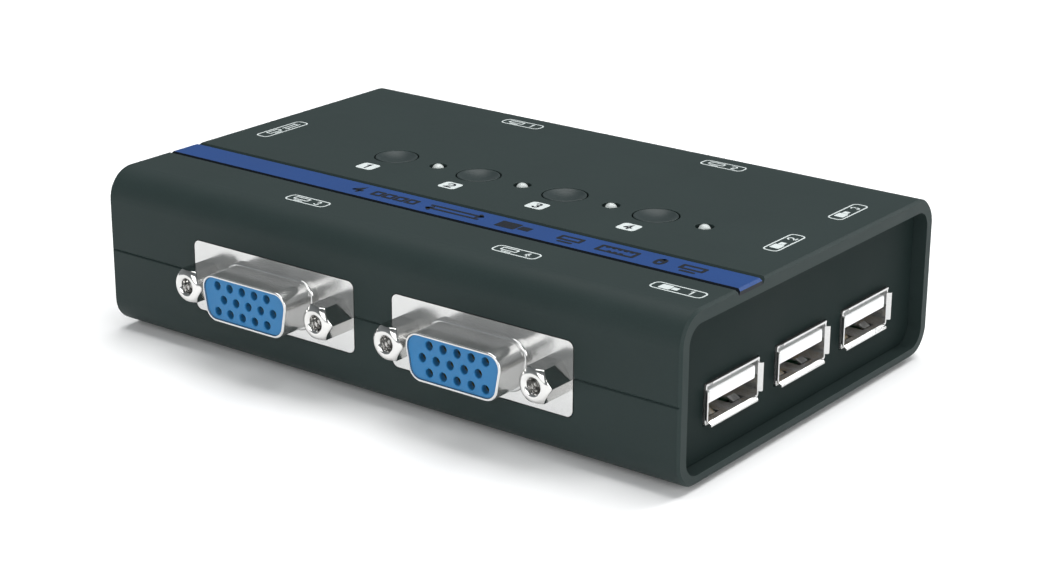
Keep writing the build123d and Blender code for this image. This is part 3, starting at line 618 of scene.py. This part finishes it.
@dataclass
class PrintedMarks:
    """Every print on the top: number badges, port labels and the marks along the stripe."""

    wardrobe: Wardrobe
    ink: float = 0.015
    badge: tuple[float, float, float] = (3.1, 2.8, 0.6)
    badge_offset: tuple[float, float] = (0.05, -6.75)
    label_height: float = 2.5
    label_corner: float = 0.85
    label_line: float = 0.24
    stripe_middle: float = 16.05

    def __post_init__(self) -> None:
        """Find the case's corner and top face."""
        low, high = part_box("top_shell")
        self.left, self.front, self.top = low.x / MM, low.y / MM, high.z / MM

    def add_piece(self, marks: list[Surface], name: str, finish: Finishes) -> None:
        """Make the object for a group of prints, dress it and fix it to the case."""
        thing = gathered(marks).to_object(name)
        self.wardrobe.dress(thing, finish)
        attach(thing, CASE_BODY)
        LOG.info("%s: %d faces", name, len(thing.data.polygons))

    def add_badges(self) -> None:
        """A white rounded square in front of each button, with the button's number on it."""
        paint = Pen(self.top - self.ink, self.top + self.ink, self.label_line)
        number_pen = Pen(self.top, self.top + 2 * self.ink, 0.36)
        plates, numbers = [], []
        for number in BUTTON_NUMBERS:
            low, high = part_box(f"button_{number}")
            spot = Spot((low.x + high.x) / 2 / MM + self.badge_offset[0],
                        (low.y + high.y) / 2 / MM + self.badge_offset[1])
            plates.append(spot.place(paint.fill(rounded_rectangle(*self.badge))))
            numbers.append(spot.place(number_pen.digit(number, 1.1, 1.65)))
        self.add_piece(plates, "number_badges", Finishes.WHITE_INK)
        self.add_piece(numbers, "badge_numbers", Finishes.DARK_INK)

    def add_labels(self) -> None:
        """A rounded outline beside each socket, holding a small picture and a number."""
        pen = Pen(self.top - self.ink, self.top + self.ink, self.label_line)
        plan = (
            (33.9, 7.2, 0, 7.5, Picture.SCREEN, 3),
            (71.5, 7.4, 0, 7.5, Picture.SCREEN, 4),
            (33.2, 59.0, 0, 7.5, Picture.SCREEN, 1),
            (71.3, 59.1, 0, 7.5, Picture.SCREEN, 2),
            (97.1, 8.2, 0, 8.2, Picture.PLUG, 1),
            (97.8, 33.1, 90, 8.2, Picture.PLUG, 2),
            (97.7, 50.6, 90, 8.2, Picture.PLUG, 3),
            (5.0, 33.0, 90, 10.2, Picture.SCREEN, 0),
        )
        parts = []
        for x, y, turn, length, kind, number in plan:
            spot = Spot(self.left + x, self.front + y, turn)
            marks = [pen.ring(length, self.label_height, self.label_corner)]
            marks.append(pen.picture(kind, 2.8, 1.5).moved((-length * 0.17, 0, 0)))
            if number:
                marks.append(pen.digit(number, 0.8, 1.25).moved((length * 0.25, 0, 0)))
            else:
                marks.append(pen.picture(Picture.ARROWS, 3.2, 1.4).moved((length * 0.2, 0, 0)))
            parts += [spot.place(mark) for mark in marks]
        self.add_piece(parts, "port_labels", Finishes.WHITE_INK)

    def add_stripe_marks(self) -> None:
        """A row of dark pictures along the stripe: what the box joins, and how many."""
        pen = Pen(self.top - self.ink, self.top + self.ink, 0.56)
        tall = 2.5
        plan = (
            (42.8, 8.4, Picture.SQUARES),
            (53.8, 9.0, Picture.ARROWS),
            (64.5, 5.6, Picture.PLUG),
            (74.0, 4.0, Picture.SCREEN),
            (82.0, 6.4, Picture.KEYBOARD),
            (89.0, 1.7, Picture.MOUSE),
            (94.0, 4.0, Picture.SCREEN),
        )
        y = self.front + self.stripe_middle
        marks = [Spot(self.left + x, y).place(pen.picture(kind, width, tall))
                 for x, width, kind in plan]
        marks.append(Spot(self.left + 36.0, y).place(pen.digit(4, 1.5, tall - pen.line)))
        self.add_piece(marks, "stripe_marks", Finishes.DARK_INK)

    def build(self) -> None:
        """Make every print."""
        self.add_badges()
        self.add_labels()
        self.add_stripe_marks()


# ---------------------------------------------------------------- jackscrews


class Side(Enum):
    """The faces of the case that carry video sockets: outward, then along the flange."""

    FRONT = ((0, -1, 0), (1, 0, 0))
    BACK = ((0, 1, 0), (-1, 0, 0))
    LEFT = ((-1, 0, 0), (0, -1, 0))


@dataclass
class Jackscrews:
    """The pair of hexagonal posts of one video socket, with a cut thread inside each."""

    wardrobe: Wardrobe
    port: str
    side: Side
    spacing: float = 24.99
    flats: float = 4.75
    reach: float = 5.0
    nose_bevel: float = 0.4
    nose_round: float = 0.3
    nose_zone: float = 1.0
    nose_rows: int = 15
    mouth_radius: float = 1.35
    mouth_outside: float = 0.2
    mouth_inside: float = 0.25
    mouth_drops: tuple[float, ...] = (0.0, 0.01, 0.04, 0.1, 0.18, 0.3)
    thread_radius: float = 1.13
    thread_cut: float = 0.16
    thread_pitch: float = 0.635
    thread_start: float = 0.4
    thread_depth: float = 4.3
    shank_radius: float = 1.4
    shank_length: float = 8.8
    columns: int = 72
    rows_per_turn: int = 8

    def outside(self, angle: np.ndarray, height: float) -> np.ndarray:
        """The post's outer radius: the hexagon, held inside the nose's 45-degree cone.

        The hexagon is half its width over the flats, divided by the cosine of the angle from
        the middle of the nearest flat. The nose's edge is rounded by a quarter circle.
        """
        from_flat = np.mod(angle, math.pi / 3) - math.pi / 6
        hexagon = self.flats / 2 / np.cos(from_flat)
        edge = self.flats / 2 - self.nose_bevel
        above = max(height - (self.reach - self.nose_round), 0.0)
        fall = self.nose_round - math.sqrt(max(self.nose_round ** 2 - above ** 2, 0.0))
        cone = edge + (self.reach - height) - fall
        return np.minimum(hexagon, cone)

    def thread(self, angle: np.ndarray, depth: float) -> np.ndarray:
        """The thread's radius: a triangle wave that climbs one pitch in each turn."""
        phase = np.mod(depth / self.thread_pitch + angle / (2 * math.pi), 1.0)
        groove = 1 - np.abs(2 * phase - 1)
        return self.thread_radius - self.thread_cut / 2 + self.thread_cut * groove

    def post(self) -> Surface:
        """One post about its own axis, from the shank's end round the nose to the thread's end."""
        angle = np.linspace(0, 2 * math.pi, self.columns, endpoint=False)
        plan: list[tuple[np.ndarray, float]] = []
        shank = np.full(self.columns, self.shank_radius)
        plan += [(shank, -self.shank_length), (shank, 0.0), (self.outside(angle, 0.0), 0.0)]
        for height in np.linspace(self.reach - self.nose_zone, self.reach, self.nose_rows):
            plan.append((self.outside(angle, height), height))
        lip = np.linspace(self.mouth_radius + self.mouth_outside,
                          self.mouth_radius - self.mouth_inside, len(self.mouth_drops))
        for radius, drop in zip(lip, self.mouth_drops):
            plan.append((np.full(self.columns, radius), self.reach - drop))
        rows = int(self.thread_depth / self.thread_pitch * self.rows_per_turn)
        for depth in np.linspace(self.thread_start, self.thread_depth, rows):
            plan.append((self.thread(angle, depth), self.reach - depth))
        rings = [np.column_stack([radius * np.cos(angle), radius * np.sin(angle),
                                  np.full(self.columns, height)]) for radius, height in plan]
        return rings_surface(rings, closed=False)

    def build(self) -> None:
        """Place both posts in the port's own frame and put them in the CAD pair's place."""
        node = f"{self.port}_port_jackscrews"
        low, high = (np.array(corner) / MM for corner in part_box(node))
        outward, along = (np.array(direction, float) for direction in self.side.value)
        up = np.cross(outward, along)
        tip = np.where(outward > 0, high, low) * np.abs(outward)
        middle = (low + high) / 2 * (1 - np.abs(outward)) + tip - outward * self.reach
        post = self.post()
        turn = np.column_stack([along, up, outward])
        pair = []
        for sign in (-1, 1):
            points = post.points @ turn.T + middle + sign * self.spacing / 2 * along
            pair.append(Surface(points, post.faces))
        thing = gathered(pair).to_object(f"{self.port}_threaded_posts", 28.0)
        self.wardrobe.dress(thing, Finishes.TURNED_NICKEL)
        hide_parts(node)
        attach(thing, CASE_BODY)
        LOG.info("%s: %d faces", thing.name, len(thing.data.polygons))


# ---------------------------------------------------------------- carried-over parts


@dataclass
class CarriedParts:
    """The CAD nodes that keep their shape and get their finish here."""

    wardrobe: Wardrobe

    def plan(self) -> dict[str, Finishes]:
        """Which finish each node gets."""
        plan = {
            "top_shell": Finishes.MOULDED_ABS,
            "bottom_shell": Finishes.MOULDED_ABS,
            # The end panels' finish carries a darker colour as painted shade.
            "left_end_panel": Finishes.PANEL_ABS_PAINTED_SHADE,
            "right_end_panel": Finishes.PANEL_ABS_PAINTED_SHADE,
            "stripe_trim": Finishes.BLUE_STRIP,
            "switch_bodies": Finishes.SWITCH_NYLON,
            "lamp_lenses": Finishes.FROSTED_ACRYLIC,
            "lamps": Finishes.LAMP_EPOXY,
            "main_board": Finishes.SOLDER_MASK,
            "controller_chip": Finishes.CHIP_EPOXY,
            "video_switch_chips": Finishes.CHIP_EPOXY,
            "clock_crystal": Finishes.DRAWN_ALUMINIUM,
            "board_capacitors": Finishes.DRAWN_ALUMINIUM,
            "chip_resistors": Finishes.CHIP_EPOXY,
            "case_screws": Finishes.BLACK_ZINC,
            "rubber_feet": Finishes.FOOT_RUBBER,
        }
        for port in VIDEO_PORTS:
            plan[f"{port}_port_shell"] = Finishes.BRIGHT_NICKEL
            plan[f"{port}_port_jackscrews"] = Finishes.TURNED_NICKEL
            plan[f"{port}_port_insulator"] = Finishes.BLUE_PBT
            plan[f"{port}_port_contacts"] = Finishes.GOLD_FLASH
        for number in USB_NUMBERS:
            plan[f"usb_{number}_shell"] = Finishes.BRIGHT_NICKEL
            plan[f"usb_{number}_tongue"] = Finishes.WHITE_NYLON
            plan[f"usb_{number}_contacts"] = Finishes.GOLD_FLASH
        for number in BUTTON_NUMBERS:
            plan[f"button_{number}"] = Finishes.BUTTON_ABS
            plan[f"switch_stem_{number}"] = Finishes.SWITCH_NYLON
        return plan

    def build(self) -> None:
        """Dress every node of the frame."""
        for node, finish in self.plan().items():
            self.wardrobe.dress(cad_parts[node], finish)
            LOG.info("%s: %s", node, finish.value.name)


# ---------------------------------------------------------------- studio


@dataclass(frozen=True)
class SoftBox:
    """A square area light that faces the object from an azimuth and an elevation."""

    name: str
    azimuth_deg: float
    elevation_deg: float
    distance: float
    size: float
    power: float

    def build(self) -> None:
        """Add the light to the scene."""
        data = bpy.data.lights.new(self.name, "AREA")
        data.shape = "SQUARE"
        data.size = self.size
        data.energy = self.power
        azimuth, elevation = math.radians(self.azimuth_deg), math.radians(self.elevation_deg)
        spot = self.distance * Vector((
            math.cos(azimuth) * math.cos(elevation),
            math.sin(azimuth) * math.cos(elevation),
            math.sin(elevation),
        ))
        thing = bpy.data.objects.new(self.name, data)
        thing.matrix_world = Matrix.Translation(spot) @ spot.to_track_quat("Z", "Y").to_matrix().to_4x4()
        bpy.context.scene.collection.objects.link(thing)


@dataclass
class Studio:
    """The floor, the soft lights and the camera."""

    azimuth_deg: float = 37.18
    elevation_deg: float = 19.45
    roll_deg: float = 0.28
    lens_mm: float = 79.8
    sensor_mm: float = 36.0
    camera_mm: tuple[float, float, float] = (201.75, -261.2, 125.24)
    floor_size: float = 12.0
    horizon: str = "#8f9496"
    zenith: str = "#6a6e70"
    surround_strength: float = 1.0
    boxes: tuple[SoftBox, ...] = (
        SoftBox("soft_box_top", 100.0, 80.0, 1.2, 1.2, 17.0),
        SoftBox("soft_box_front", -80.0, 26.0, 1.3, 0.9, 7.0),
        SoftBox("soft_box_right", -12.0, 16.0, 1.3, 0.7, 7.5),
        SoftBox("soft_box_rim", 66.0, 35.0, 1.3, 0.3, 4.0),
    )

    def add_camera(self) -> None:
        """A camera turned by azimuth, then elevation, then a slight roll."""
        data = bpy.data.cameras.new("studio_camera")
        data.lens = self.lens_mm
        data.sensor_width = self.sensor_mm
        data.clip_start = 0.01
        thing = bpy.data.objects.new("studio_camera", data)
        turn = (
            Matrix.Rotation(math.radians(self.azimuth_deg), 4, "Z")
            @ Matrix.Rotation(math.radians(90 - self.elevation_deg), 4, "X")
            @ Matrix.Rotation(math.radians(self.roll_deg), 4, "Z")
        )
        thing.matrix_world = Matrix.Translation(Vector(self.camera_mm) * MM) @ turn
        bpy.context.scene.collection.objects.link(thing)
        bpy.context.scene.camera = thing

    def add_floor(self) -> None:
        """A plain pale floor under everything."""
        half = self.floor_size / 2
        corners = [(-half, -half, 0), (half, -half, 0), (half, half, 0), (-half, half, 0)]
        mesh = bpy.data.meshes.new("studio_floor")
        mesh.from_pydata(corners, [], [(0, 1, 2, 3)])
        thing = bpy.data.objects.new("studio_floor", mesh)
        bpy.context.scene.collection.objects.link(thing)
        material = bpy.data.materials.new("studio_paper")
        material.use_nodes = True
        shader = material.node_tree.nodes["Principled BSDF"]
        shader.inputs["Base Color"].default_value = srgb("#fcfcfc")
        shader.inputs["Roughness"].default_value = 0.9
        shader.inputs["Specular IOR Level"].default_value = 0.1
        mesh.materials.append(material)

    def add_surround(self) -> None:
        """A grey surround that is lighter at the horizon than overhead."""
        world = bpy.data.worlds.new("studio_surround")
        world.use_nodes = True
        tree = world.node_tree
        tree.nodes.clear()
        place = add_node(tree, "ShaderNodeTexCoord")
        parts = add_node(tree, "ShaderNodeSeparateXYZ", {}, {"Vector": place.outputs["Generated"]})
        height = add_node(tree, "ShaderNodeMapRange", {}, {
            "Value": parts.outputs["Z"],
            "From Min": 0.0,
            "From Max": 0.8,
        })
        colour = add_node(tree, "ShaderNodeMix", {"data_type": "RGBA"}, {
            "Factor": height.outputs["Result"],
            6: srgb(self.horizon),
            7: srgb(self.zenith),
        })
        light = add_node(tree, "ShaderNodeBackground", {}, {
            "Color": colour.outputs[2],
            "Strength": self.surround_strength,
        })
        add_node(tree, "ShaderNodeOutputWorld", {}, {"Surface": light.outputs["Background"]})
        bpy.context.scene.world = world

    def build(self) -> None:
        """Set up the whole studio."""
        self.add_camera()
        self.add_floor()
        self.add_surround()
        for box in self.boxes:
            box.build()
        bpy.context.scene.view_settings.view_transform = "Standard"


def main() -> None:
    """Build the object's looks in order."""
    logging.basicConfig(level=logging.INFO, format="%(message)s")
    wardrobe = Wardrobe()
    CarriedParts(wardrobe).build()
    PrintedMarks(wardrobe).build()
    sides = dict(zip(VIDEO_PORTS, (Side.LEFT, Side.BACK, Side.BACK, Side.FRONT, Side.FRONT)))
    for port, side in sides.items():
        Jackscrews(wardrobe, port, side).build()
    Studio().build()


if __name__ == "__main__":
    main()
